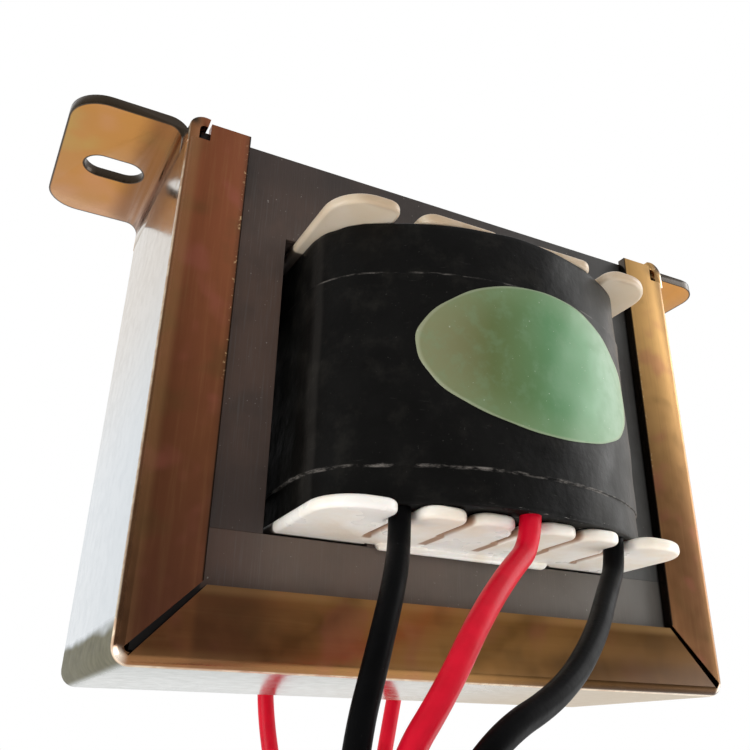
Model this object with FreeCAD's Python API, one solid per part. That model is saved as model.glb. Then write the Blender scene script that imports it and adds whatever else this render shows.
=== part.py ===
"""Laminated mains transformer in a folded channel frame, hanging from its two slotted ears.

Millimetres. X runs along the line of the two ears, Y from the low-voltage side (front) to the
mains side (rear), +Z up. The origin is the middle of the slot pattern on the face of the ears
that meets the chassis, so the whole part lies below Z = 0.
"""
import FreeCAD, Part
import math
import os

from FreeCAD import Vector

# Core: scrapless E and I sheets, interleaved one by one
centre_leg_w = 22.0
side_leg_w = 11.0
window_w = 11.0
window_h = 33.0
yoke_h = 11.0
sheet_count = 49
sheet_pitch = 0.5
sheet_coat = 0.02

# Channel frame: one folded sheet
frame_t = 1.2
fold_inner_r = 0.1
fold_outer_r = 1.0
corner_inner_r = 0.5
side_clear = 0.35
face_clear = 0.1
base_clear = 0.15
lip_w = 7.0
lip_over_core = 0.4
lip_notch_w = 2.4
lip_notch_h = 2.35
mitre_gap = 0.45
mitre_land = 1.1

# Ears and their slots
ear_rise = 2.85
slot_to_tip = 6.55
ear_bend_r = 1.6
ear_front_in = 3.8
ear_rear_in = 0.35
ear_corner_r = 4.0
slot_spacing = 80.0
slot_w = 4.2
slot_l = 7.0
slot_from_front = 15.6

# Claws that fold over the open end of the core
claw_w = 2.8
claw_front_in = 0.3
claw_fold_r = 0.5
claw_turn_deg = 100.0
claw_tip_l = 0.3
claw_clear = 0.02

# Bobbin: square tube with two notched flanges
tube_clear = 0.2
tube_wall = 1.1
flange_t = 1.2
flange_z_clear = 0.2
flange_x_clear = 0.9
flange_overhang = 11.6
flange_corner_r = 4.5
tooth_corner_r = 1.7
notch_w = 2.4
notch_pitch = 6.25
notch_land = 0.15
slit_w = 0.6
outer_slit_depth = 9.6
inner_slit_depth = 6.3
rib_w = 20.5
rib_h = 0.6

# Coil: nested layers, straight beside the core and bowed out in front and behind
bow_start = 0.3
coil_end_clear = 0.15
layer_gap = 0.05
primary_side = 3.6
primary_bow = 5.6
barrier_t = 0.3
secondary_side = 3.0
secondary_bow = 3.2
lead_bed_side = 0.6
lead_bed_bow = 3.3
wrap_t = 0.3
tape_t = 0.15
tape_h = 20.4
tape_below_middle = 1.3

# Oval sticker
label_w = 29.0
label_h = 16.2
label_t = 0.1
label_x = 2.5
label_above_middle = 0.9

# Leads: PVC covered stranded wire
lead_d = 2.1
round_sides = 8
lead_bore_clear = 0.1
tinned_d = 1.1
tinned_l = 6.0
joint_d = 1.5
joint_l = 6.0
lead_rise = 2.4
lead_drop = 4.9
lead_bed_inset = 0.2

# Worked out from the sizes above
core_w = centre_leg_w + 2 * (window_w + side_leg_w)
core_h = window_h + 2 * yoke_h
stack_d = sheet_count * sheet_pitch
frame_w = core_w + 2 * (side_clear + frame_t)
frame_d = stack_d + 2 * (face_clear + frame_t)

front_y = -slot_from_front
rear_y = front_y + frame_d
core_y0 = front_y + frame_t + face_clear
core_y1 = core_y0 + stack_d
mid_y = (front_y + rear_y) / 2

core_top = -ear_rise
core_bottom = core_top - core_h
base_top = core_bottom - base_clear
base_bottom = base_top - frame_t
lip_top = core_top + lip_over_core
window_z0 = core_bottom + yoke_h
window_z1 = core_top - yoke_h

inner_x = frame_w / 2 - frame_t
outer_x = frame_w / 2
notch_z = lip_top - lip_notch_h
ear_tip_x = slot_spacing / 2 + slot_to_tip

tube_in_x = centre_leg_w / 2 + tube_clear
tube_in_y = stack_d / 2 + tube_clear
tube_x = tube_in_x + tube_wall
tube_y = tube_in_y + tube_wall
flange_x = core_w / 2 - side_leg_w - flange_x_clear
flange_y = frame_d / 2 + flange_overhang
low_flange_z = window_z0 + flange_z_clear
high_flange_z = window_z1 - flange_z_clear - flange_t
coil_z0 = low_flange_z + flange_t + coil_end_clear
coil_z1 = high_flange_z - coil_end_clear
coil_mid_z = (coil_z0 + coil_z1) / 2


def box(x0, x1, y0, y1, z0, z1):
    """Block between two opposite corners."""
    return Part.makeBox(x1 - x0, y1 - y0, z1 - z0, Vector(x0, y0, z0))


def upright_prism(points, y0, y1):
    """Outline of (x, z) points in a vertical plane, carried along Y from y0 to y1."""
    corners = [Vector(x, y0, z) for x, z in points]
    face = Part.Face(Part.makePolygon(corners + corners[:1]))
    return face.extrude(Vector(0, y1 - y0, 0))


def strip_section(path, thickness, y0, y1):
    """Folded strip: 'path' lists straight runs ('run', length) and bends ('bend', inner radius,
    degrees, with a right turn positive) after a start ((x, z), heading in degrees from +Z).
    The path follows the left face of the strip, whose thickness lies to its right."""
    (x, z), heading = path[0]
    left, right = [], []

    def side(px, pz, angle, offset):
        turn = math.radians(angle)
        return Vector(px + offset * math.cos(turn), y0, pz - offset * math.sin(turn))

    for step in path[1:]:
        start = heading
        if step[0] == "run":
            turn = math.radians(heading)
            nx = x + step[1] * math.sin(turn)
            nz = z + step[1] * math.cos(turn)
            left.append(Part.makeLine(side(x, z, heading, 0), side(nx, nz, heading, 0)))
            right.append(Part.makeLine(side(x, z, heading, thickness), side(nx, nz, heading, thickness)))
            x, z = nx, nz
            continue
        inner_r, degrees = step[1], step[2]
        if degrees > 0:
            r = inner_r + thickness
            centre = side(x, z, heading, r)
            spokes = [(start + degrees * k / 2) for k in range(3)]
            arc_l = [side(centre.x, centre.z, a, -r) for a in spokes]
            arc_r = [side(centre.x, centre.z, a, -inner_r) for a in spokes]
        else:
            r = inner_r
            centre = side(x, z, heading, -r)
            spokes = [(start + degrees * k / 2) for k in range(3)]
            arc_l = [side(centre.x, centre.z, a, r) for a in spokes]
            arc_r = [side(centre.x, centre.z, a, r + thickness) for a in spokes]
        left.append(Part.Arc(*arc_l).toShape())
        right.append(Part.Arc(*arc_r).toShape())
        x, z = arc_l[2].x, arc_l[2].z
        heading = start + degrees
    ends = [Part.makeLine(left[0].Vertexes[0].Point, right[0].Vertexes[0].Point),
            Part.makeLine(left[-1].Vertexes[-1].Point, right[-1].Vertexes[-1].Point)]
    wire = Part.Wire(Part.__sortEdges__(left + right + ends))
    return Part.Face(wire).extrude(Vector(0, y1 - y0, 0))


def edges_where(shape, test):
    """Edges whose middle point passes the test."""
    found = []
    for edge in shape.Edges:
        middle = edge.valueAt((edge.FirstParameter + edge.LastParameter) / 2)
        if test(edge, middle):
            found.append(edge)
    return found


def save(name, shape):
    """Write one node and print what it holds."""
    shape.exportStep("parts/%s.step" % name)
    print("%-28s solids %3d  volume %9.1f" % (name, len(shape.Solids), shape.Volume))


# Core

def e_outline(back_up):
    """Outline of an E sheet; its back is the upper yoke or the lower one."""
    half = core_w / 2
    slot_x = centre_leg_w / 2
    leg_end = core_h - yoke_h
    points = [(-half, 0), (half, 0), (half, leg_end), (half - side_leg_w, leg_end),
              (half - side_leg_w, yoke_h), (slot_x, yoke_h), (slot_x, leg_end),
              (-slot_x, leg_end), (-slot_x, yoke_h), (side_leg_w - half, yoke_h),
              (side_leg_w - half, leg_end), (-half, leg_end)]
    if back_up:
        return [(x, core_top - z) for x, z in points]
    return [(x, core_bottom + z) for x, z in points]


def i_outline(at_top):
    """Outline of an I sheet, which closes the open ends of the E's legs."""
    half = core_w / 2
    z0 = core_top - yoke_h if at_top else core_bottom
    return [(-half, z0), (half, z0), (half, z0 + yoke_h), (-half, z0 + yoke_h)]


def sheets(outline, first):
    """Every second sheet of the stack, each with its coat of varnish left clear."""
    pile = []
    for k in range(first, sheet_count, 2):
        y0 = core_y0 + k * sheet_pitch + sheet_coat / 2
        pile.append(upright_prism(outline, y0, y0 + sheet_pitch - sheet_coat))
    return Part.makeCompound(pile)


# Channel frame

def channel_body():
    """Base, two legs and four lips: a shallow tray folded up on three sides, opened in front
    and behind, with its corners mitred."""
    over = lip_top + frame_t
    outer = box(-outer_x, outer_x, front_y, rear_y, base_bottom, lip_top)
    lower = edges_where(outer, lambda e, m: abs(m.z - base_bottom) < 0.01 and abs(m.y - mid_y) < 0.01)
    outer = outer.makeFillet(corner_inner_r + frame_t, lower)
    rim = edges_where(outer, lambda e, m: (abs(m.y - front_y) < 0.01 or abs(m.y - rear_y) < 0.01)
                      and m.z < lip_top - 0.01)
    outer = outer.makeFillet(fold_outer_r, rim)

    inner = box(-inner_x, inner_x, front_y + frame_t, rear_y - frame_t, base_top, over)
    lower = edges_where(inner, lambda e, m: abs(m.z - base_top) < 0.01 and abs(m.y - mid_y) < 0.01)
    inner = inner.makeFillet(corner_inner_r, lower)
    rim = edges_where(inner, lambda e, m: (abs(m.y - front_y - frame_t) < 0.01
                                           or abs(m.y - rear_y + frame_t) < 0.01)
                      and m.z < over - 0.01)
    inner = inner.makeFillet(fold_inner_r, rim)

    open_x = outer_x - lip_w
    opening = box(-open_x, open_x, front_y - 1, rear_y + 1, base_bottom + lip_w, over)
    body = outer.cut(inner).cut(opening)
    for side in (-1, 1):
        body = body.cut(mitre(side))
        notch_x = sorted((side * (outer_x + 1), side * (outer_x - lip_notch_w)))
        body = body.cut(box(notch_x[0], notch_x[1], front_y - 1, rear_y + 1, notch_z, over))
    return body


def mitre(side):
    """Gap between a leg lip and the base lip, cut through both faces of the frame."""
    inner_corner = Vector(side * (outer_x - lip_w), 0, base_bottom + lip_w)
    outer_corner = Vector(side * (outer_x - mitre_land), 0, base_bottom + mitre_land)
    along = (outer_corner - inner_corner).normalize()
    across = Vector(-along.z, 0, along.x) * (mitre_gap / 2)
    start = inner_corner - along * frame_t
    points = [(p.x, p.z) for p in (start + across, outer_corner + across * 1.8,
                                   outer_corner - across * 1.8, start - across)]
    reach = frame_t + fold_inner_r
    front = upright_prism(points, front_y - 1, front_y + reach)
    rear = upright_prism(points, rear_y - reach, rear_y + 1)
    return front.fuse(rear)


def ear():
    """Left ear: rises from the leg and bends outwards, with rounded corners and a slot."""
    root_z = notch_z - 0.5
    rise = -frame_t - ear_bend_r - root_z
    reach = ear_tip_x - outer_x - ear_bend_r
    y0 = front_y + ear_front_in
    y1 = rear_y - ear_rear_in
    path = [((-outer_x, root_z), 0), ("run", rise), ("bend", ear_bend_r, -90), ("run", reach)]
    blank = strip_section(path, frame_t, y0, y1)
    corners = edges_where(blank, lambda e, m: abs(m.x + ear_tip_x) < 0.01 and abs(m.z + frame_t / 2) < 0.01)
    blank = blank.makeFillet(ear_corner_r, corners)
    return blank.cut(slot(-slot_spacing / 2))


def slot(x):
    """Round-ended slot, its long axis along X, through an ear at x."""
    half = (slot_l - slot_w) / 2
    hole = box(x - half, x + half, -slot_w / 2, slot_w / 2, -2 * frame_t, frame_t)
    for end in (-half, half):
        hole = hole.fuse(Part.makeCylinder(slot_w / 2, 3 * frame_t, Vector(x + end, 0, -2 * frame_t)))
    return hole


def claw():
    """Left claw: a tab of the leg, turned in past level so that its tip presses on the core."""
    root_z = notch_z - 0.5
    turn = math.radians(claw_turn_deg)
    drop = claw_fold_r * math.sin(turn) + claw_tip_l * math.cos(turn)
    bend_z = core_top + claw_clear - drop
    y0 = front_y + claw_front_in
    path = [((-outer_x, root_z), 0), ("run", bend_z - root_z),
            ("bend", claw_fold_r, claw_turn_deg), ("run", claw_tip_l)]
    return strip_section(path, frame_t, y0, y0 + claw_w)


def channel_frame():
    """The whole folded frame, one piece of sheet."""
    tabs = ear().fuse(claw())
    frame = channel_body().fuse(tabs).fuse(tabs.mirror(Vector(0, 0, 0), Vector(1, 0, 0)))
    return frame.removeSplitter()


# Bobbin

def keyhole(x, depth, wide, wide_to):
    """Cut for one notch in a flange's front edge, as a flat outline carried up: a lead notch
    with a round end at 'wide_to' behind the edge if 'wide', and a narrow slit to 'depth'."""
    edge = -flange_y
    tool = box(x - slit_w / 2, x + slit_w / 2, edge - 1, edge + depth, -1, flange_t + 1)
    if not wide:
        return tool
    end = edge + wide_to
    tool = tool.fuse(box(x - notch_w / 2, x + notch_w / 2, edge - 1, end, -1, flange_t + 1))
    return tool.fuse(Part.makeCylinder(notch_w / 2, flange_t + 2, Vector(x, end, -1)))


def flange(front_notches, rear_notches):
    """Flange plate about the tube's middle, its lower face at Z = 0. Each list holds
    (x, depth of slit, True for a lead notch, depth of the lead notch)."""
    plate = box(-flange_x, flange_x, -flange_y, flange_y, 0, flange_t)
    plate = plate.makeFillet(flange_corner_r, edges_where(plate, lambda e, m: abs(m.z - flange_t / 2) < 0.01))
    for notches, flip in ((front_notches, False), (rear_notches, True)):
        for notch in notches:
            tool = keyhole(*notch)
            if flip:
                tool = tool.mirror(Vector(0, 0, 0), Vector(0, 1, 0))
            plate = plate.cut(tool)
    tips = edges_where(plate, lambda e, m: abs(m.z - flange_t / 2) < 0.01 and e.Curve.TypeId == "Part::GeomLine"
                       and abs(abs(m.y) - flange_y) < 0.01 and abs(m.x) < flange_x - flange_corner_r)
    plate = plate.makeFillet(tooth_corner_r, tips)
    return plate.cut(box(-tube_in_x, tube_in_x, -tube_in_y, tube_in_y, -1, flange_t + 1))


def notch_row(kinds):
    """Five notches a pitch apart; 'kinds' gives None, 'slit' or 'lead' for each."""
    row = []
    for k, kind in enumerate(kinds):
        if kind:
            x = (k - 2) * notch_pitch
            depth = outer_slit_depth if abs(k - 2) == 2 else inner_slit_depth
            wide_to = max(flange_y + lead_bed_y(x) - mid_y, tooth_corner_r + notch_land)
            row.append((x, depth, kind == "lead", wide_to))
    return row


def bobbin():
    """Moulded bobbin: tube, two flanges and a low rib in front of and behind each yoke."""
    lower = flange(notch_row(front_kinds), notch_row(rear_kinds))
    upper = flange(notch_row(top_kinds), notch_row(top_kinds))
    lower.translate(Vector(0, mid_y, low_flange_z))
    upper.translate(Vector(0, mid_y, high_flange_z))
    tube = box(-tube_x, tube_x, mid_y - tube_y, mid_y + tube_y, low_flange_z, high_flange_z + flange_t)
    tube = tube.cut(box(-tube_in_x, tube_in_x, mid_y - tube_in_y, mid_y + tube_in_y,
                        low_flange_z - 1, high_flange_z + flange_t + 1))
    body = lower.fuse(upper).fuse(tube)
    for y0 in (mid_y - tube_y, mid_y + tube_in_y):
        for z0 in (low_flange_z - rib_h, high_flange_z + flange_t):
            body = body.fuse(box(-rib_w / 2, rib_w / 2, y0, y0 + tube_wall, z0, z0 + rib_h))
    return body.removeSplitter()


# Coil

def bow_arcs(half_x, bow):
    """Radii of the three arcs that bow a layer out past the core: two at the corners and one
    across the front. Returns the corner radius and the front radius."""
    corner_r = bow * (0.35 + 0.6 * bow / half_x)
    front_r = (half_x ** 2 + bow ** 2 - 2 * half_x * corner_r) / (2 * (bow - corner_r))
    return corner_r, front_r


def coil_profile(half_x, bow):
    """Closed outline of a coil layer seen from above: straight beside the core, and bowed out
    in front and behind on three arcs that run into one another."""
    corner_r, front_r = bow_arcs(half_x, bow)
    tilt = math.atan2(front_r - bow, half_x - corner_r)
    edges = []
    for side in (-1, 1):
        base = mid_y + side * (tube_y + bow_start)

        def point(cx, cy, r, angle):
            return Vector(cx + r * math.cos(angle), base + side * (cy + r * math.sin(angle)), 0)

        corner = half_x - corner_r
        centres = [(corner, 0, corner_r, 0, tilt), (0, bow - front_r, front_r, tilt, math.pi - tilt),
                   (-corner, 0, corner_r, math.pi - tilt, math.pi)]
        for cx, cy, r, start, stop in centres:
            arc = [point(cx, cy, r, a) for a in (start, (start + stop) / 2, stop)]
            edges.append(Part.Arc(*arc).toShape())
        edges.append(Part.makeLine(Vector(side * half_x, mid_y - tube_y - bow_start, 0),
                                   Vector(side * half_x, mid_y + tube_y + bow_start, 0)))
    return Part.Face(Part.Wire(Part.__sortEdges__(edges)))


def layer_prism(half_x, bow, z0, z1):
    """A coil outline carried up from z0 to z1."""
    solid = coil_profile(half_x, bow).extrude(Vector(0, 0, z1 - z0))
    solid.translate(Vector(0, 0, z0))
    return solid


def coil_layers():
    """Outer half width and bow of each layer, worked out from the tube outwards."""
    grow = [("primary_winding", primary_side, primary_bow), ("winding_barrier", barrier_t, barrier_t),
            ("secondary_winding", secondary_side, secondary_bow), ("lead_bed", lead_bed_side, lead_bed_bow),
            ("insulating_wrap", wrap_t, wrap_t), ("outer_tape", tape_t, tape_t)]
    half_x, bow = tube_x, 0.0
    table = {}
    for name, side, front in grow:
        table[name] = (half_x + layer_gap, bow + layer_gap, half_x + side, bow + front)
        half_x += side
        bow += front
    return table


def coil_layer(name, z0, z1):
    """One layer as a closed band round the one inside it."""
    in_x, in_bow, out_x, out_bow = layers[name]
    band = layer_prism(out_x, out_bow, z0, z1)
    if name == "primary_winding":
        gap = layer_gap
        return band.cut(box(-tube_x - gap, tube_x + gap, mid_y - tube_y - gap, mid_y + tube_y + gap,
                            z0 - 1, z1 + 1))
    return band.cut(layer_prism(in_x, in_bow, z0 - 1, z1 + 1))


def lead_bed_y(x):
    """Y of a front lead's middle where it lies under the wrap, at x: the lead is set in from
    the front arc of its bed, which has to reach that far across."""
    _, _, half_x, bow = layers["lead_bed"]
    corner_r, front_r = bow_arcs(half_x, bow)
    inset_r = front_r - lead_d / 2 - lead_bed_inset
    return mid_y - tube_y - bow_start + front_r - bow - math.sqrt(inset_r ** 2 - x ** 2)


def lead_bed():
    """Layers of tape that bury the joints and the ends of the leads, with their channels."""
    band = coil_layer("lead_bed", coil_z0, coil_z1)
    for lead in leads:
        x, y, z = lead["route"][0]
        top = Vector(x, y, z + joint_l + 1)
        band = band.cut(wire_rod(top, Vector(0, 0, -1), top.z - coil_z0 + 1, lead_d + 2 * lead_bore_clear))
    return band


def label():
    """Oval sticker that follows the bowed front of the outer tape."""
    _, _, half_x, bow = layers["outer_tape"]
    gap = layer_gap
    z0 = coil_mid_z + label_above_middle - label_h / 2
    shell = layer_prism(half_x + gap + label_t, bow + gap + label_t, z0 - 1, z0 + label_h + 1)
    shell = shell.cut(layer_prism(half_x + gap, bow + gap, z0 - 2, z0 + label_h + 2))
    middle = Vector(label_x, mid_y, z0 + label_h / 2)
    oval = Part.Ellipse(Vector(0, 0, 0), label_w / 2, label_h / 2).toShape()
    reach = tube_y + bow_start + bow + 1
    cutter = Part.Face(Part.Wire([oval])).extrude(Vector(0, 0, reach))
    cutter.rotate(Vector(0, 0, 0), Vector(1, 0, 0), 90)
    cutter.translate(middle)
    return shell.common(cutter)


# Leads

def under_flange(x, side):
    """First two points of a lead, from its buried end straight down through its notch: side -1
    is the front, 1 the rear."""
    y = mid_y + side * (mid_y - lead_bed_y(x))
    return [(x, y, coil_z0 + lead_rise), (x, y, coil_z0 + lead_rise - lead_drop)]


def wire_section(centre, along, diameter):
    """Eight-sided section of a wire, square to 'along' and with the round one's area."""
    turn = 2 * math.pi / round_sides
    r = diameter / 2 * math.sqrt(turn / math.sin(turn))
    up = along.normalize()
    right = up.cross(Vector(0, 1, 0)).normalize()
    ahead = right.cross(up)
    corners = [centre + right * (r * math.cos(k * turn)) + ahead * (r * math.sin(k * turn))
               for k in range(round_sides)]
    return Part.makePolygon(corners + corners[:1])


def wire_rod(start, along, length, diameter):
    """Straight piece of wire."""
    along = along.normalize()
    return Part.Face(wire_section(start, along, diameter)).extrude(along * length)


def lead_tube(name, route):
    """Lead along straight runs joined by tangent arcs; prints its length and its radii."""
    points = [Vector(*p) for p in route]
    edges = []
    radii = []
    at = points[0]
    for before, corner, after in zip(points, points[1:], points[2:]):
        run = min((corner - before).Length, (after - corner).Length)
        u = (corner - before).normalize()
        v = (after - corner).normalize()
        half = math.acos(max(-1.0, min(1.0, u.dot(v)))) / 2
        radius = 0.45 * run / math.tan(half)
        reach = 0.45 * run
        start = corner - u * reach
        end = corner + v * reach
        bisector = (v - u).normalize()
        middle = corner + bisector * (radius / math.cos(half) - radius)
        edges.append(Part.LineSegment(at, start).toShape())
        edges.append(Part.Arc(start, middle, end).toShape())
        radii.append(round(radius, 1))
        at = end
    edges.append(Part.LineSegment(at, points[-1]).toShape())
    path = Part.Wire(edges)
    ring = wire_section(points[0], points[1] - points[0], lead_d)
    tube = path.makePipeShell([ring], True, False)
    expected = Part.Face(ring).Area * path.Length
    print("%s length %.1f, volume by section %.1f, radii %s" % (name, path.Length, expected, radii))
    return tube


def tinned_end(route):
    """Stripped and tinned strands that stand out of a lead's free end."""
    end = Vector(*route[-1])
    return wire_rod(end, end - Vector(*route[-2]), tinned_l, tinned_d)


def wire_joint(route):
    """Soldered joint between a lead and the winding, buried under the wrap."""
    return wire_rod(Vector(*route[0]), Vector(0, 0, 1), joint_l, joint_d)


layers = coil_layers()

front_kinds = ("lead", "slit", "lead", "slit", "lead")
rear_kinds = ("slit", "lead", "slit", "slit", "lead")
top_kinds = ("lead", None, "lead", None, "lead")

left_x = -2 * notch_pitch
right_x = 2 * notch_pitch
rear_left_x = -notch_pitch

leads = [
    {"name": "lead_front_left_black", "route": under_flange(left_x, -1) + [
        (-14.3, -26.9, -51.9), (-17.0, -29.4, -58.0), (-19.9, -31.0, -65.9), (-21.0, -31.8, -79.5),
        (-20.2, -31.1, -101.0), (-20.9, -31.6, -121.0), (-20.5, -31.3, -139.0)]},
    {"name": "lead_front_centre_red", "route": under_flange(0.0, -1) + [
        (-4.2, -28.8, -51.2), (-8.8, -31.1, -55.6), (-12.9, -32.4, -61.3), (-16.6, -31.9, -66.5),
        (-18.0, -30.0, -76.0), (-17.1, -28.6, -94.5), (-17.9, -29.2, -116.0), (-17.4, -28.8, -136.5)]},
    {"name": "lead_front_right_black", "route": under_flange(right_x, -1) + [
        (9.2, -26.1, -51.3), (4.0, -29.9, -56.3), (-2.6, -33.7, -61.2), (-9.6, -35.7, -64.6),
        (-14.4, -35.6, -71.0), (-16.0, -34.2, -84.0), (-15.3, -33.5, -102.0), (-16.0, -34.0, -121.0),
        (-15.6, -33.7, -138.0)]},
    {"name": "lead_rear_left_red", "route": under_flange(rear_left_x, 1) + [
        (-7.2, 23.4, -53.0), (-7.1, 23.8, -61.0), (-5.9, 23.2, -73.0), (-5.3, 22.6, -91.0),
        (-5.9, 22.9, -111.0), (-5.5, 22.6, -129.0)]},
    {"name": "lead_rear_right_red", "route": under_flange(right_x, 1) + [
        (11.7, 20.9, -53.2), (10.4, 21.5, -61.0), (8.3, 21.5, -71.5), (7.0, 20.7, -88.0),
        (7.6, 20.8, -108.0), (7.1, 20.5, -126.5), (7.4, 20.7, -138.0)]},
]


def main():
    os.makedirs("parts", exist_ok=True)
    save("channel_frame", channel_frame())
    save("e_sheets_back_up", sheets(e_outline(True), 0))
    save("i_sheets_bottom", sheets(i_outline(False), 0))
    save("e_sheets_back_down", sheets(e_outline(False), 1))
    save("i_sheets_top", sheets(i_outline(True), 1))
    save("bobbin", bobbin())
    for name in ("primary_winding", "winding_barrier", "secondary_winding", "insulating_wrap"):
        save(name, coil_layer(name, coil_z0, coil_z1))
    save("lead_bed", lead_bed())
    tape_z0 = coil_mid_z - tape_below_middle - tape_h / 2
    save("outer_tape", coil_layer("outer_tape", tape_z0, tape_z0 + tape_h))
    save("label", label())
    for lead in leads:
        end = lead["name"].replace("lead_", "", 1)
        save(lead["name"], lead_tube(lead["name"], lead["route"]))
        save("tinned_end_" + end, tinned_end(lead["route"]))
        save("wire_joint_" + end, wire_joint(lead["route"]))


main()
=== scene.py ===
# %% [markdown]
# # A laminated transformer in a channel frame, seen from below
#
# The part hangs from two slotted ears. A folded steel channel grips a stack of E and I sheets,
# a moulded bobbin sits in the windows of the stack, and its coil bulges out in front and behind
# under black tape. Five soft leads leave the bobbin's lower flange. This lesson dresses the
# measured CAD frame, which is loaded first, one piece of the product at a time.

import math

import bmesh
import bpy
import numpy as np
from mathutils import Matrix, Vector


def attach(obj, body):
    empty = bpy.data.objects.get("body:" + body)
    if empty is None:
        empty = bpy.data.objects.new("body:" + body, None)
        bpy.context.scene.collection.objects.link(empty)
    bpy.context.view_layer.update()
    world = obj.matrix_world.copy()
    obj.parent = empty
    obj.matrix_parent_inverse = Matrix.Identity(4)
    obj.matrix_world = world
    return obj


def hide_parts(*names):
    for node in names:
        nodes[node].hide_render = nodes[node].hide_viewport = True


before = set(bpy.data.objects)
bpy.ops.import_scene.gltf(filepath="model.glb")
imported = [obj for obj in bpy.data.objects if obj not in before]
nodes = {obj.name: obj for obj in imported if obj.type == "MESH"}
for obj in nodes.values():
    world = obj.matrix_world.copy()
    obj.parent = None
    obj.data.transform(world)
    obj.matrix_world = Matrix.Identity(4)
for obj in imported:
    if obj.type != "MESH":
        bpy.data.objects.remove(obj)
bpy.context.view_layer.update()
MM = 0.001
middle_y = -2.05

# %% [markdown]
# ## The camera
#
# The photograph was taken close up, from below the part and to its left, looking up along the
# leads. Close up, perspective is strong, so the place of the lens matters more than its length.
# Both were worked out from the straight edges of the frame. The camera's right and forward
# directions are given below, and its up direction follows from them.

# %% Camera
eye = Vector((-48.8, -92.4, -66.0)) * MM
look_right = Vector((0.8818, -0.4716, 0.0058))
look_forward = Vector((0.4175, 0.7863, 0.4555))
look_right = (look_right - look_forward * look_right.dot(look_forward)).normalized()
look_forward.normalize()
look_up = look_right.cross(look_forward)

camera = bpy.data.objects.new("camera", bpy.data.cameras.new("camera"))
bpy.context.collection.objects.link(camera)
bpy.context.scene.camera = camera
bpy.context.scene.view_settings.view_transform = "Standard"
camera.matrix_world = Matrix((
    (look_right.x, look_up.x, -look_forward.x, eye.x),
    (look_right.y, look_up.y, -look_forward.y, eye.y),
    (look_right.z, look_up.z, -look_forward.z, eye.z),
    (0, 0, 0, 1)))
camera.data.sensor_width = 36.0
camera.data.lens = 41.18
camera.data.shift_x = -0.0346
camera.data.shift_y = -0.0699
camera.data.clip_start = 0.004
camera.data.clip_end = 20.0
print("camera", [round(v / MM, 1) for v in camera.location], "lens", camera.data.lens)

# %% [markdown]
# ## Helpers for meshes
#
# Every new surface is an array of points worked out with numpy. A grid of points becomes a
# mesh of quads, which can be joined up in either direction. Outlines that are carried up or
# along use the same helper, so there is one place where faces are made.

# %% Mesh helpers
def new_piece(name, points, faces, smooth=True):
    """Object at the origin from an (n, 3) array in millimetres and a list of faces."""
    mesh = bpy.data.meshes.new(name)
    mesh.from_pydata((np.asarray(points) * MM).tolist(), [], faces)
    mesh.validate()
    if smooth:
        mesh.shade_smooth()
    obj = bpy.data.objects.new(name, mesh)
    bpy.context.collection.objects.link(obj)
    return obj


def grid_faces(rows, cols, wrap_rows=False, wrap_cols=False, start=0):
    """Quads of a rows by cols grid: each joins a point, its right, its diagonal and its lower
    neighbour, and the last row or column joins the first where the surface closes."""
    r = np.arange(rows if wrap_rows else rows - 1)
    c = np.arange(cols if wrap_cols else cols - 1)
    i, j = np.meshgrid(r, c, indexing="ij")
    i2, j2 = (i + 1) % rows, (j + 1) % cols
    quads = np.stack([i * cols + j, i * cols + j2, i2 * cols + j2, i2 * cols + j], axis=-1)
    return (quads.reshape(-1, 4) + start).tolist()


def dress(obj, material, slot, *replaced):
    """Finish a piece: material, body, and the CAD nodes that it stands for."""
    obj.data.materials.clear()
    obj.data.materials.append(material)
    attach(obj, "root")
    if replaced:
        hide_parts(*replaced)
    return obj


def repaint(node, material):
    """Give a CAD node that keeps its shape its own finish."""
    mesh = nodes[node].data
    mesh.materials.clear()
    mesh.materials.append(material)


def merged_copy(node, name, bevel, segments=2, level_only=False):
    """Copy of a CAD node with its loose triangles joined up and its sharp outer edges broken.
    With 'level_only' just the outer edges that lie level are broken, to their full width."""
    obj = bpy.data.objects.new(name, nodes[node].data.copy())
    bpy.context.collection.objects.link(obj)
    bm = bmesh.new()
    bm.from_mesh(obj.data)
    bmesh.ops.remove_doubles(bm, verts=bm.verts, dist=2e-6)
    bmesh.ops.dissolve_limit(bm, angle_limit=math.radians(0.5), verts=bm.verts, edges=bm.edges)
    weight = bm.edges.layers.float.new("bevel_weight_edge")
    for edge in bm.edges:
        sharp = len(edge.link_faces) == 2 and edge.calc_face_angle() > math.radians(30)
        level = abs(edge.verts[0].co.z - edge.verts[1].co.z) < 1e-7
        broken = sharp and (level and edge.is_convex or not level_only)
        edge[weight], edge.smooth = float(broken), broken or not sharp
    for face in bm.faces:
        face.smooth = True
    bm.to_mesh(obj.data)
    bm.free()
    rounding = obj.modifiers.new("broken_edges", "BEVEL")
    rounding.width = bevel * MM
    rounding.segments = segments
    rounding.limit_method = "WEIGHT"
    rounding.use_clamp_overlap = not level_only
    rounding.harden_normals = True
    return obj


print("helpers ready")

# %% [markdown]
# ## Shader maths as plain expressions
#
# Node trees are easier to read as formulas. The small class below wraps one output socket, and
# its operators add Math nodes, so that a mask times a number is written just so. Colours are
# mixed with Mix nodes, because a Math node would turn them grey.

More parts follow.
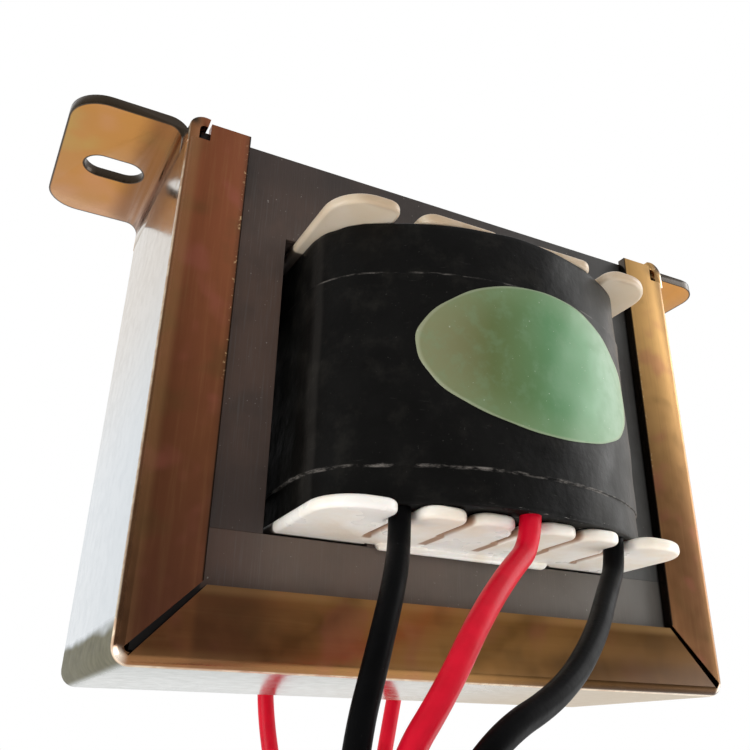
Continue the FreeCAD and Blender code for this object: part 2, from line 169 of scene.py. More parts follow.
# %% Expression class for sockets
class Wire:
    """One value or vector in a node tree."""

    def __init__(self, tree, socket):
        self.tree, self.socket = tree, socket

    def _math(self, operation, *values):
        return self.tree.node("ShaderNodeMath", {"operation": operation},
                              {k: v for k, v in enumerate(values)})[0]

    def __add__(self, other):
        return self._math("ADD", self, other)

    def __sub__(self, other):
        return self._math("SUBTRACT", self, other)

    def __rsub__(self, other):
        return self._math("SUBTRACT", other, self)

    def __mul__(self, other):
        return self._math("MULTIPLY", self, other)

    def __truediv__(self, other):
        return self._math("DIVIDE", self, other)

    def __pow__(self, other):
        return self._math("POWER", self, other)

    def __abs__(self):
        return self._math("ABSOLUTE", self)

    def sqrt(self):
        return self._math("SQRT", self)

    def least(self, other):
        return self._math("MINIMUM", self, other)

    def most(self, other):
        return self._math("MAXIMUM", self, other)

    def ramp(self, low, high, out_low=0.0, out_high=1.0):
        """Smooth step from out_low at 'low' to out_high at 'high'."""
        out = self.tree.node("ShaderNodeMapRange", {"interpolation_type": "SMOOTHSTEP"},
                             {"Value": self, "From Min": low, "From Max": high,
                              "To Min": out_low, "To Max": out_high})
        return out[0]

    __radd__ = __add__
    __rmul__ = __mul__


class Finish:
    """A material, or the world, and its node tree."""

    def __init__(self, name, world=None):
        owner = world or bpy.data.materials.new(name)
        owner.use_nodes = True
        self.owner, self.nodes, self.links = owner, owner.node_tree.nodes, owner.node_tree.links
        self.nodes.clear()

    def node(self, kind, settings=None, values=None):
        """Any node: settings first, then its sockets. Returns its outputs as wires."""
        made = self.nodes.new(kind)
        for key, value in (settings or {}).items():
            if key == "stops":
                ramp = made.color_ramp
                while len(ramp.elements) < len(value):
                    ramp.elements.new(0.5)
                for element, (place, colour) in zip(ramp.elements, value):
                    element.position, element.color = place, (*colour, 1.0)
            else:
                setattr(made, key, value)
        for key, value in (values or {}).items():
            socket = made.inputs[key]
            if isinstance(value, Wire):
                self.links.new(value.socket, socket)
            elif isinstance(value, (tuple, list)) and len(value) == 3 and socket.type == "RGBA":
                socket.default_value = (*value, 1.0)
            else:
                socket.default_value = value
        return [Wire(self, out) for out in made.outputs]

    def place(self, scale=(1, 1, 1)):
        """Object coordinates in millimetres, stretched by 'scale'."""
        where = self.node("ShaderNodeTexCoord")[3]
        return self.node("ShaderNodeMapping", {"vector_type": "POINT"},
                         {"Vector": where, "Scale": [1000 * s for s in scale]})[0]

    def xyz(self, vector=None):
        return self.node("ShaderNodeSeparateXYZ", None, {0: vector or self.place()})

    def noise(self, size, detail=2.0, rough=0.5, stretch=(1, 1, 1), vector=None):
        """Cloudy value about 0.5 with features about 'size' millimetres wide."""
        where = vector or self.place(stretch)
        return self.node("ShaderNodeTexNoise", {"noise_dimensions": "3D"},
                         {"Vector": where, "Scale": 1.0 / size, "Detail": detail, "Roughness": rough})[0]

    def mix(self, factor, a, b):
        """Colour a where factor is 0, b where it is 1."""
        return self.node("ShaderNodeMix", {"data_type": "RGBA"}, {0: factor, 6: a, 7: b})[2]

    def bump(self, height, depth, normal=None):
        """Normal from a height field that is 'depth' millimetres deep."""
        values = {"Height": height, "Distance": depth * MM, "Strength": 1.0}
        if normal:
            values["Normal"] = normal
        return self.node("ShaderNodeBump", None, values)[0]

    def surface(self, **sockets):
        """Principled surface; underscores in the names stand for spaces."""
        values = {key.replace("_", " "): value for key, value in sockets.items()}
        shader = self.node("ShaderNodeBsdfPrincipled", None, values)[0]
        self.node("ShaderNodeOutputMaterial", None, {"Surface": shader})
        return self.owner


print("shader helpers ready")

# %% [markdown]
# ## The leads
#
# Each lead is stranded copper in soft PVC, 2.1 mm thick and about 100 mm long. It is soldered
# to its winding under the tape, drops straight through a notch in the flange, bends over at
# once and then hangs. A NURBS curve with a few control points gives such a line, and a round
# bevel gives it its thickness. The control points are written in millimetres.

# %% Lead finishes
def pvc(name, colour, dark, rough, gloss):
    """Soft PVC: even colour, slightly cloudy gloss, faint drag lines and dust."""
    m = Finish(name)
    cloud = m.noise(2.5, 3.0)
    dust = m.noise(0.35, 4.0, 0.7).ramp(0.66, 0.78)
    base = m.mix(cloud.ramp(0.3, 0.7), dark, colour)
    base = m.mix(dust * 0.12, base, (0.3, 0.28, 0.26))
    fine = m.noise(0.5, 3.0)
    return m.surface(Base_Color=base, Roughness=cloud.ramp(0.3, 0.7, rough, rough + 0.12),
                     Normal=m.bump(fine, 0.02), Specular_IOR_Level=gloss)


black_pvc = pvc("black_pvc", (0.0025, 0.0025, 0.0027), (0.0015, 0.0015, 0.0017), 0.34, 0.04)
red_pvc = pvc("red_pvc", (0.66, 0.0025, 0.022), (0.54, 0.002, 0.016), 0.3, 0.15)


def tinned(name):
    """Tinned strands: bright solder with a dull bloom."""
    m = Finish(name)
    bloom = m.noise(0.4, 3.0)
    base = m.mix(bloom, (0.42, 0.42, 0.43), (0.72, 0.72, 0.72))
    return m.surface(Base_Color=base, Metallic=1.0, Roughness=bloom.ramp(0.3, 0.7, 0.22, 0.45),
                     Normal=m.bump(m.noise(0.2), 0.02))


tin = tinned("tin")
print("lead finishes:", black_pvc.name, red_pvc.name, tin.name)

# %% Lead routes and curves
lead_d = 2.1
lead_routes = {
    "front_left_black": ([
        (-12.5, -24.08, -42.9), (-12.5, -24.08, -47.8), (-14.3, -26.9, -51.9), (-17.0, -29.4, -58.0),
        (-19.9, -31.0, -65.9), (-21.0, -31.8, -79.5), (-20.2, -31.1, -101.0), (-20.9, -31.6, -121.0),
        (-20.5, -31.3, -139.0)], black_pvc, 98.9),
    "front_centre_red": ([
        (0.0, -27.05, -42.9), (0.0, -27.05, -47.8), (-4.2, -28.8, -51.2), (-8.8, -31.1, -55.6),
        (-12.9, -32.4, -61.3), (-16.6, -31.9, -66.5), (-18.0, -30.0, -76.0), (-17.1, -28.6, -94.5),
        (-17.9, -29.2, -116.0), (-17.4, -28.8, -136.5)], red_pvc, 100.7),
    "front_right_black": ([
        (12.5, -24.08, -42.9), (12.5, -24.08, -47.8), (9.2, -26.1, -51.3), (4.0, -29.9, -56.3),
        (-3.0, -33.7, -61.2), (-10.9, -35.7, -64.5), (-15.8, -35.6, -70.6), (-16.8, -34.2, -84.0),
        (-15.8, -33.5, -102.0), (-16.4, -34.0, -121.0), (-15.9, -33.7, -138.0)], black_pvc, 109.9),
    "rear_left_red": ([
        (-6.25, 22.28, -42.9), (-6.25, 22.28, -47.8), (-7.2, 23.4, -53.0), (-6.8, 23.8, -60.5),
        (-4.3, 23.2, -71.0), (-3.9, 22.6, -91.0), (-4.5, 22.9, -111.0), (-4.1, 22.6, -129.0)],
        red_pvc, 86.4),
    "rear_right_red": ([
        (12.5, 20.0, -42.9), (12.5, 20.0, -47.8), (11.7, 20.9, -53.2), (10.4, 21.5, -61.0),
        (8.3, 21.5, -71.5), (7.0, 20.7, -88.0), (7.6, 20.8, -108.0), (7.1, 20.5, -126.5),
        (7.4, 20.7, -138.0)], red_pvc, 95.6),
}


def nurbs_lead(name, points, bevel):
    """Curve of order 3 that is drawn by its control points and meets the first and the last."""
    curve = bpy.data.curves.new(name, "CURVE")
    curve.dimensions = "3D"
    spline = curve.splines.new("NURBS")
    spline.points.add(len(points) - 1)
    flat = np.ones((len(points), 4))
    flat[:, :3] = np.asarray(points) * MM
    spline.points.foreach_set("co", flat.ravel())
    spline.order_u = 3
    spline.use_endpoint_u = True
    spline.resolution_u = 24
    curve.bevel_depth = bevel * MM
    curve.bevel_resolution = 7
    curve.use_fill_caps = True
    obj = bpy.data.objects.new(name, curve)
    bpy.context.collection.objects.link(obj)
    return obj


def strands(name, points):
    """Seven tinned strands in a lay: each is a circle carried along a helix of pitch 9 mm
    about the line of the lead's last run, six of them round a straight one."""
    end, before = np.array(points[-1]), np.array(points[-2])
    along = (end - before) / np.linalg.norm(end - before)
    side = np.cross(along, [0.0, 1.0, 0.0])
    side /= np.linalg.norm(side)
    other = np.cross(along, side)
    length, wire_r, steps, sides = 6.0, 0.185, 28, 10
    s = np.linspace(-0.6, length, steps)
    ring = np.linspace(0, 2 * np.pi, sides, endpoint=False)
    verts, faces = [], []
    for k in range(7):
        lay_r = 0.0 if k == 6 else 0.36
        turn = s * (2 * np.pi / 9.0) + k * np.pi / 3
        middle = (end + s[:, None] * along + lay_r * (np.cos(turn)[:, None] * side
                                                      + np.sin(turn)[:, None] * other))
        tip = np.clip((length - s) / 0.25, 0.05, 1.0) ** 0.5
        loop = (np.cos(ring)[None, :, None] * side + np.sin(ring)[None, :, None] * other)
        tube = middle[:, None, :] + wire_r * tip[:, None, None] * loop
        start = len(verts) * steps * sides
        verts.append(tube.reshape(-1, 3))
        faces += grid_faces(steps, sides, wrap_cols=True, start=start)
        faces.append([start + (steps - 1) * sides + j for j in range(sides)])
        faces.append([start + j for j in reversed(range(sides))])
    return new_piece(name, np.vstack(verts), faces)


for key, (points, finish, length) in lead_routes.items():
    lead = dress(nurbs_lead("hanging_lead_" + key, points, lead_d / 2), finish,
                 "lead_black" if "black" in key else "lead_red", "lead_" + key)
    bare = dress(strands("bare_strands_" + key, points), tin, "tinned_wire", "tinned_end_" + key)
    [v * MM for v in points[0]]
    length * MM
    print("lead", key, length, "mm")

# %% [markdown]
# ## The core
#
# Forty-nine layers of silicon steel, each of an E and an I sheet, are stacked with their joints
# swapped from one layer to the next. The steel has a dull brown-grey skin with a fine vertical
# grain, and each sheet has a slightly broken edge that shows as a hairline in the stack. A
# sheet could be a scaled box, but then it would have no windows, so it is one outline carried
# through its thickness with a small chamfer.

# %% Core sheets
sheet_count, sheet_pitch, sheet_coat = 49, 0.5, 0.02
core_front, core_top, core_bottom = -14.3, -2.85, -57.85
half_w, leg_w, half_centre, yoke_h = 33.0, 11.0, 11.0, 11.0


def e_outline(back_up):
    """Corners of an E sheet, anticlockwise as seen from the front."""
    end = core_top - core_bottom - yoke_h
    pts = np.array([(-half_w, 0), (half_w, 0), (half_w, end), (half_w - leg_w, end),
                    (half_w - leg_w, yoke_h), (half_centre, yoke_h), (half_centre, end),
                    (-half_centre, end), (-half_centre, yoke_h), (leg_w - half_w, yoke_h),
                    (leg_w - half_w, end), (-half_w, end)])
    if back_up:
        return np.stack([pts[:, 0], core_top - pts[:, 1]], 1)[::-1]
    return np.stack([pts[:, 0], core_bottom + pts[:, 1]], 1)


def i_outline(z0):
    """Corners of an I sheet whose lower edge is at z0."""
    return np.array([(-half_w, z0), (half_w, z0), (half_w, z0 + yoke_h), (-half_w, z0 + yoke_h)])


def inset_outline(outline, by):
    """Every corner moved in along the sum of its two edges' inward normals, scaled so that
    each edge moves by the same distance."""
    edge = np.roll(outline, -1, axis=0) - outline
    edge /= np.linalg.norm(edge, axis=1)[:, None]
    normal = np.stack([-edge[:, 1], edge[:, 0]], 1)
    both = normal + np.roll(normal, 1, axis=0)
    return outline + by * both * (2.0 / (both ** 2).sum(axis=1))[:, None]


def sheet_stack(name, outline, first, chamfer=0.045):
    """Every second sheet: four rings of the outline, the outer two drawn in by the chamfer,
    closed by a face at each end. Each sheet sits a few hundredths off the next."""
    shift = np.random.default_rng(7 + first)
    n, verts, faces = len(outline), [], []
    for k in range(first, sheet_count, 2):
        y0 = core_front + k * sheet_pitch + sheet_coat / 2
        y1 = y0 + sheet_pitch - sheet_coat
        off = shift.uniform(-0.03, 0.03, 2) * (k > 0)
        start = 4 * n * len(verts)
        rings = [(y0, chamfer), (y0 + chamfer, 0.0), (y1 - chamfer, 0.0), (y1, chamfer)]
        flat = [(inset_outline(outline, c) + off, y) for y, c in rings]
        verts.append(np.vstack([np.stack([p[:, 0], np.full(n, y), p[:, 1]], 1) for p, y in flat]))
        faces += [list(reversed(q)) for q in grid_faces(4, n, wrap_cols=True, start=start)]
        faces.append([start + j for j in range(n)])
        faces.append([start + 3 * n + j for j in reversed(range(n))])
    return new_piece(name, np.vstack(verts), faces, smooth=False)


def core_steel():
    """Dull oxide on rolled steel: fine vertical grain, cloudy patches and specks of dust. It is
    warmer at the left, darker with painted shade near the top and low on the left leg, a little
    paler on the lower yoke, and nearly black with painted shade where the lips of the frame cover it."""
    m = Finish("core_steel")
    x, y, z = m.xyz()
    grain = m.noise(0.16, 2.0, 0.6, (1, 1, 0.03))
    cloud = m.noise(6.0, 3.0, 0.55)
    speck = m.noise(0.3, 1.0, 0.4).ramp(0.77, 0.82)
    base = m.mix(x.ramp(-30.0, 34.0), (0.100, 0.058, 0.042), (0.092, 0.094, 0.090))
    base = m.mix(cloud.ramp(0.35, 0.7) * 0.5, base, (0.045, 0.036, 0.032))
    base = m.mix(grain.ramp(0.5, 0.75) * 0.35, base, (0.12, 0.105, 0.095))
    shade = x.ramp(-19.0, -23.0) * z.ramp(-34.0, -45.0)
    shade = shade.most(z.ramp(-13.0, -5.0)) * z.ramp(-46.9, -46.8)
    base = m.mix(shade * 0.6, base, (0.025, 0.021, 0.02))
    base = m.mix(z.ramp(-46.8, -46.9) * x.ramp(-26.0, -18.0) * 0.24, base, (0.26, 0.22, 0.18))
    base = m.mix(speck * 0.5, base, (0.40, 0.37, 0.33))
    # Painted shade: nearly black on the core where the lips of the frame cover it.
    lip_shade = abs(x).ramp(27.35, 27.6).most(z.ramp(-52.2, -52.4)) * abs(y - middle_y).ramp(11.7, 12.1)
    base = m.mix(lip_shade * 0.93, base, (0.004, 0.003, 0.003))
    return m.surface(Base_Color=base, Metallic=lip_shade.ramp(0.0, 1.0, 0.3, 0.0),
                     Roughness=cloud.ramp(0.3, 0.7, 0.42, 0.58), Normal=m.bump(grain, 0.012))


steel = core_steel()
for node, outline, first in (("e_sheets_back_up", e_outline(True), 0),
                             ("i_sheets_bottom", i_outline(core_bottom), 0),
                             ("e_sheets_back_down", e_outline(False), 1),
                             ("i_sheets_top", i_outline(core_top - yoke_h), 1)):
    stack = dress(sheet_stack("punched_" + node, outline, first), steel, "core_steel", node)
    print(stack.name, len(stack.data.vertices), "points")

# %% [markdown]
# ## The channel frame
#
# One strip of 1.2 mm steel is folded to a channel with lips front and rear, and the ears and
# claws are part of the same sheet. It is zinc plated and passivated yellow, which gives a gold
# film with pink and green patches, worn bright on the folds, with painted highlights there too. The
# CAD shape is right, so a copy of it gets broken edges, and the film is painted by place,
# with painted reflections and shade among its colours.

# %% Frame finish
leg_bend_x, base_bend_z = 32.85, -57.5
slot_centre_x, slot_half_run = 40.0, 1.4
ear_round_x, ear_round_y, ear_middle_y = 42.55, 7.475, -0.325


def passivated_zinc():
    """Thin gold film on zinc. Its colour drifts from red brown on the left lips to bronze on
    the right, partly the film's own tone and partly a painted reflection of light from the right;
    it darkens towards the base, and it is gold with pink and green on the ears, with painted shade
    next to the legs, on the ears' edges and in the slots. The lips' cut edges get painted shade, and
    the folds and corners wear bright under a painted highlight. The outer faces of legs and base are
    painted silver, a painted reflection of the bright room, warm high on the legs where the gold
    ears are mirrored."""
    m = Finish("passivated_zinc")
    x, y, z = m.xyz()
    side, deep = abs(x), abs(y - middle_y)
    bend_x, bend_z = (side - leg_bend_x).most(0.0), (base_bend_z - z).most(0.0)
    skin = (bend_x * bend_x + bend_z * bend_z).sqrt()
    cloud = m.noise(8.0, 3.0, 0.55)
    tint = m.noise(5.5, 2.0, 0.5)
    across = m.noise(0.45, 3.0, 0.6, (1, 1, 0.04))
    along = m.noise(0.45, 3.0, 0.6, (0.04, 1, 1))
    on_leg = (side + z).ramp(-24.8, -24.5)
    streak = on_leg * across + (1.0 - on_leg) * along

    # The drift from left to right is partly the film's own tone and partly a painted reflection of light from
    # the right.
    drift = x.ramp(-34.0, 36.0) + (cloud - 0.5) * 0.25
    film = m.node("ShaderNodeValToRGB", {"stops": [
        (0.0, (0.31, 0.10, 0.045)), (0.35, (0.34, 0.135, 0.045)), (0.65, (0.42, 0.19, 0.06)),
        (1.0, (0.72, 0.42, 0.15))]}, {0: drift})[0]
    low = z.ramp(-10.0, -46.0) * x.ramp(-20.0, 34.0, 0.7, 0.9)
    film = m.mix(low, film, (0.15, 0.058, 0.026))
    film = m.mix((1.0 - on_leg) * x.ramp(-26.0, -8.0, 0.1, 0.5), film, (0.56, 0.29, 0.08))
    film = m.mix(streak.ramp(0.5, 0.75) * 0.08, film, (0.62, 0.38, 0.16))
    film = m.mix(streak.ramp(0.48, 0.3) * 0.1, film, (0.12, 0.045, 0.022))
    film = m.mix(tint.ramp(0.54, 0.7) * 0.35, film, (0.44, 0.13, 0.10))
    film = m.mix(tint.ramp(0.46, 0.3) * 0.4, film, (0.15, 0.085, 0.03))
    film = m.mix(x.ramp(-28.4, -27.6) * x.ramp(-20.0, -24.0) * 0.5, film, (0.12, 0.05, 0.025))
    edge_band = side.ramp(32.6, 33.6).most(z.ramp(-57.4, -58.4))
    film = m.mix(edge_band * 0.38, film, (0.40, 0.22, 0.09))
    film = m.mix(on_leg * z.ramp(-38.0, -57.0) * x.ramp(0.0, -20.0) * 0.45, film, (0.06, 0.026, 0.02))
    film = m.mix((1.0 - on_leg) * x.ramp(-8.0, 26.0) * 0.86, film, (0.055, 0.023, 0.004))
    low_right = (1.0 - on_leg) * z.ramp(-54.8, -57.2) * x.ramp(-4.0, 16.0)
    film = m.mix(low_right * 0.65, film, (0.022, 0.008, 0.001))
    inner_edge = z.ramp(-53.3, -52.5) * (1.0 - on_leg)
    film = m.mix(inner_edge * 0.25, film, (0.60, 0.36, 0.15))

    wide = m.noise(9.0, 2.0, 0.45)
    ear = m.mix(wide.ramp(0.5, 0.68) * 0.5, (0.54, 0.25, 0.065), (0.60, 0.29, 0.15))
    ear = m.mix(wide.ramp(0.46, 0.3) * 0.6, ear, (0.50, 0.37, 0.10))
    # Painted shade on the ears where they meet the legs.
    ear = m.mix(side.ramp(39.6, 36.8) * 0.75, ear, (0.21, 0.085, 0.032))
    on_ear = side.ramp(34.9, 36.4).most(z.ramp(-3.4, -2.2) * side.ramp(33.0, 34.0))
    out_x = (side - ear_round_x).most(0.0)
    out_y = (abs(y - ear_middle_y) - ear_round_y).most(0.0)
    # The ears' outer edges and the slots' walls get painted shade, nearly black.
    rim = (out_x * out_x + out_y * out_y).sqrt().ramp(3.72, 3.9)
    slot_x = (abs(side - slot_centre_x) - slot_half_run).most(0.0)
    wall = (slot_x * slot_x + y * y).sqrt().ramp(2.35, 2.2)
    shaded_rim = rim.most(wall) * on_ear
    ear = m.mix(rim.most(wall), ear, (0.035, 0.021, 0.009))

    # Painted reflections on the outer faces of legs and base: silver for the bright room, warm high on the
    # legs where the gold ears are mirrored.
    warm = m.mix(z.ramp(-14.0, -42.0), (0.56, 0.50, 0.43), (0.60, 0.65, 0.69))
    under = m.mix(x.ramp(-24.0, 20.0), (0.47, 0.49, 0.46), (0.47, 0.38, 0.26))
    silver = m.mix(z.ramp(-58.4, -59.0), warm, under)
    dull = m.noise(3.0, 2.0, 0.5, (1, 0.3, 1)) * 3.0
    at_bend = (dull - z).ramp(56.6, 58.0) * side.ramp(33.1, 33.9)
    silver = m.mix(at_bend, silver, m.mix(m.noise(1.2, 3.0), (0.055, 0.05, 0.026), (0.165, 0.155, 0.095)))
    outer_face = skin.ramp(1.5, 1.62)
    face = m.mix(outer_face * deep.ramp(13.15, 12.75), film, silver)

    # The folds are worn pale and carry a painted highlight, brighter towards the right where the light comes
    # from; the corners get a painted highlight and wear as well.
    fold = outer_face * deep.ramp(12.6, 12.85) * deep.ramp(13.52, 13.4)
    wear_and_glint = m.mix(m.noise(1.2, 3.0, 0.6).ramp(0.4, 0.65), (0.64, 0.43, 0.28), (0.90, 0.74, 0.54))
    wear_and_glint = m.mix(x.ramp(10.0, 32.0) * 0.6, wear_and_glint, (0.95, 0.88, 0.76))
    base = m.mix(fold * 0.9, face, wear_and_glint)
    corner = side.ramp(33.0, 34.0) * z.ramp(-57.4, -58.4) * deep.ramp(12.7, 13.1) * deep.ramp(13.6, 13.45)
    base = m.mix(corner * 0.7, base, (0.95, 0.86, 0.72))
    chipped = side.ramp(28.1, 27.75) * deep.ramp(13.3, 13.45) * z.ramp(-36.0, -30.0) * on_leg
    chipped = chipped * m.noise(0.5, 3.0, 0.7).ramp(0.55, 0.66) * 0.7
    base = m.mix(chipped, base, (0.85, 0.58, 0.30))
    base = m.mix(on_ear, base, ear)
    scuff = m.noise(0.4, 4.0, 0.7).ramp(0.68, 0.78)
    base = m.mix(scuff * 0.3, base, (0.72, 0.60, 0.42))
    # Painted shade, nearly black, on the lips' cut edges beside the core.
    shaded_cut_edge = side.ramp(27.8, 27.62) * deep.ramp(12.2, 12.35) * z.ramp(-52.0, -51.8)
    base = m.mix(shaded_cut_edge * 0.95, base, (0.01, 0.007, 0.005))

    lip = deep.ramp(13.3, 13.5) * (1.0 - on_ear)
    at_bend = at_bend * outer_face
    stained = z.ramp(-58.9, -59.1) * x.ramp(-5.0, 25.0)
    rough = m.noise(1.6, 4.0, 0.6).ramp(0.3, 0.7, 0.16, 0.25) + lip * 0.14
    rough = rough + at_bend * 0.5 + stained * 0.25
    metal = 1.0 - shaded_rim * 0.5 - at_bend * 0.85 - stained * 0.6
    return m.surface(Base_Color=base, Metallic=metal, Roughness=rough,
                     Normal=m.bump(cloud, 0.02), Coat_Weight=metal * (0.15 - lip * 0.1), Coat_Roughness=0.1)


zinc = passivated_zinc()
channel = merged_copy("channel_frame", "folded_channel", 0.12)
dress(channel, zinc, "chromated_zinc", "channel_frame")
print("frame", len(channel.data.polygons), "faces before its edges are broken")

# %% [markdown]
# ## The bobbin
#
# Ivory nylon, moulded in one: a square tube with a flange at each end, whose front and rear
# edges are notched for the leads. The tabs between the notches look like small pillows in the
# real part, because the mould has round corners. So the CAD shape is copied, and the flanges'
# level outer edges are rounded over most of their thickness.

# %% Bobbin
notch_pitch = 6.25


def nylon():
    """Ivory nylon: soft gloss, a little light scattered below the surface, brown painted shade in the
    slits, brown varnish on the rims, painted shade where the flanges lie inside the core, and dark specks."""
    m = Finish("ivory_nylon")
    x, y, z = m.xyz()
    stain = m.noise(6.0, 3.0, 0.55)
    base = m.mix(stain.ramp(0.35, 0.7), (0.95, 0.92, 0.86), (0.87, 0.78, 0.65))
    # Painted shade, brown, in the slits between the tabs.
    place = x * (1.0 / notch_pitch) + 0.5
    slit_shade = abs(m.node("ShaderNodeMath", {"operation": "FRACT"}, {0: place})[0] - 0.5) * notch_pitch
    slit_shade = slit_shade.ramp(0.62, 0.3) * abs(x).ramp(13.4, 13.2) * abs(y - middle_y).ramp(14.6, 15.2)
    base = m.mix(slit_shade * 0.85, base, (0.32, 0.15, 0.065))
    upper = z.ramp(-16.0, -15.0)
    rim = abs(y - middle_y).ramp(24.2, 25.1) * upper
    base = m.mix(rim * stain.ramp(0.3, 0.6, 0.4, 0.9), base, (0.36, 0.22, 0.16))
    base = m.mix(upper * 0.75, base, (0.52, 0.39, 0.24))
    # Painted shade, nearly black, where the flanges lie inside the core.
    shade_in_core = abs(y - middle_y).ramp(12.5, 12.1)
    base = m.mix(shade_in_core * 0.96, base, (0.03, 0.02, 0.015))
    speck = m.noise(0.3, 1.0, 0.5).ramp(0.78, 0.82)
    base = m.mix(speck * 0.35, base, (0.30, 0.20, 0.12))
    return m.surface(Base_Color=base, Roughness=stain.ramp(0.3, 0.7, 0.25, 0.4),
                     Subsurface_Weight=0.12, Subsurface_Radius=(1.0, 0.6, 0.4),
                     Subsurface_Scale=0.001, Normal=m.bump(m.noise(0.8, 2.0), 0.015))


ivory = nylon()
bobbin = merged_copy("bobbin", "moulded_bobbin", 0.45, 5, level_only=True)
dress(bobbin, ivory, "bobbin_plastic", "bobbin")
print("bobbin", len(bobbin.data.polygons), "faces before its edges are rounded")

# %% [markdown]
# ## The coil
#
# Two windings and their insulation fill the windows, and black tape closes the coil. Only the
# tape shows: a wide band round the whole coil, and a narrower one over it whose edges have
# rubbed pale. Tape pulled round a soft coil is never quite even, so the band is worked out
# point by point: the outline of three arcs, pushed out by the second tape, by its free end and
# by shallow waves.

# %% Coil surface
wrap_half, wrap_bow = 20.1, 12.7
bow_base = 13.85
tape_t = 0.16
tape_low, tape_high = -41.85, -21.45
tape_end_x, tape_end_t = -19.7, 0.09
coil_low, coil_high = -45.38, -15.3


def bow_arcs(half_x, bow):
    """Corner radius, front radius and the angle at which the arcs meet, as in the CAD part."""
    corner_r = bow * (0.35 + 0.6 * bow / half_x)
    front_r = (half_x ** 2 + bow ** 2 - 2 * half_x * corner_r) / (2 * (bow - corner_r))
    return corner_r, front_r, math.atan2(front_r - bow, half_x - corner_r)


def coil_outline(half_x, bow, steps):
    """Closed outline seen from above, with its outward normals. On each bow the angle runs from
    0 to pi, about the corner's centre up to the meeting angle, about the front's centre
    between, and about the other corner's centre at the end."""
    corner_r, front_r, tilt = bow_arcs(half_x, bow)
    corner = half_x - corner_r
    thirds = [(corner, 0.0, corner_r, 0.0, tilt), (0.0, bow - front_r, front_r, tilt, math.pi - tilt),
              (-corner, 0.0, corner_r, math.pi - tilt, math.pi)]
    points, normals = [], []
    for side in (1, -1):
        for cx, cy, r, start, stop in thirds:
            a = np.linspace(start, stop, steps)[:-1]
            n = np.stack([np.cos(a), np.sin(a)], 1)
            here = np.array([cx, cy]) + r * n
            points.append(np.stack([side * here[:, 0], middle_y + side * (bow_base + here[:, 1])], 1))
            normals.append(side * n)
    return np.vstack(points), np.vstack(normals)


def step(value, low, high):
    """Smooth step of an array from 0 at 'low' to 1 at 'high'."""
    t = np.clip((value - low) / (high - low), 0, 1)
    return t * t * (3 - 2 * t)


def pull_waves(x, z):
    """Shallow waves of the pulled tape: three sines of the place across and up the coil."""
    return (0.045 * np.sin(0.42 * x + 0.35 * z) + 0.03 * np.sin(1.1 * x - 0.6 * z)
            + 0.02 * np.sin(0.2 * x + 1.3 * z))


def taped_coil():
    """Band of tape, closed inwards at both ends. Its offset is the second tape between its two
    edges, plus the free end of the tape near the front left corner, plus the waves."""
    outline, normal = coil_outline(wrap_half, wrap_bow, 64)
    turn = 2 * np.pi * np.arange(len(outline)) / len(outline)
    rows = np.concatenate([[coil_low, coil_low + 0.02], np.linspace(coil_low + 0.14, tape_low - 0.1, 9),
                           np.linspace(tape_low - 0.05, tape_low + 0.05, 5),
                           np.linspace(tape_low + 0.4, tape_high - 0.4, 40),
                           np.linspace(tape_high - 0.05, tape_high + 0.05, 5),
                           np.linspace(tape_high + 0.3, coil_high - 0.14, 12),
                           [coil_high - 0.02, coil_high]])
    z = rows[:, None] + 0.05 * np.sin(11 * turn + 1.0) + 0.03 * np.sin(23 * turn)
    over = step(rows, tape_low - 0.03, tape_low + 0.03) * (1 - step(rows, tape_high - 0.03, tape_high + 0.03))
    front = outline[:, 1] < middle_y
    free_end = tape_end_t * step(outline[:, 0], tape_end_x - 0.12, tape_end_x + 0.12) * front
    offset = tape_t * over[:, None] + free_end + pull_waves(outline[:, 0], z)
    ends = np.zeros(len(rows))
    ends[[0, -1]] = -7.0
    ends[[1, -2]] = -0.1
    offset = offset + ends[:, None]
    x = outline[:, 0] + normal[:, 0] * offset
    y = outline[:, 1] + normal[:, 1] * offset
    points = np.stack([x, y, np.broadcast_to(z, x.shape)], -1).reshape(-1, 3)
    return new_piece("taped_coil", points, grid_faces(len(rows), len(outline), wrap_cols=True))


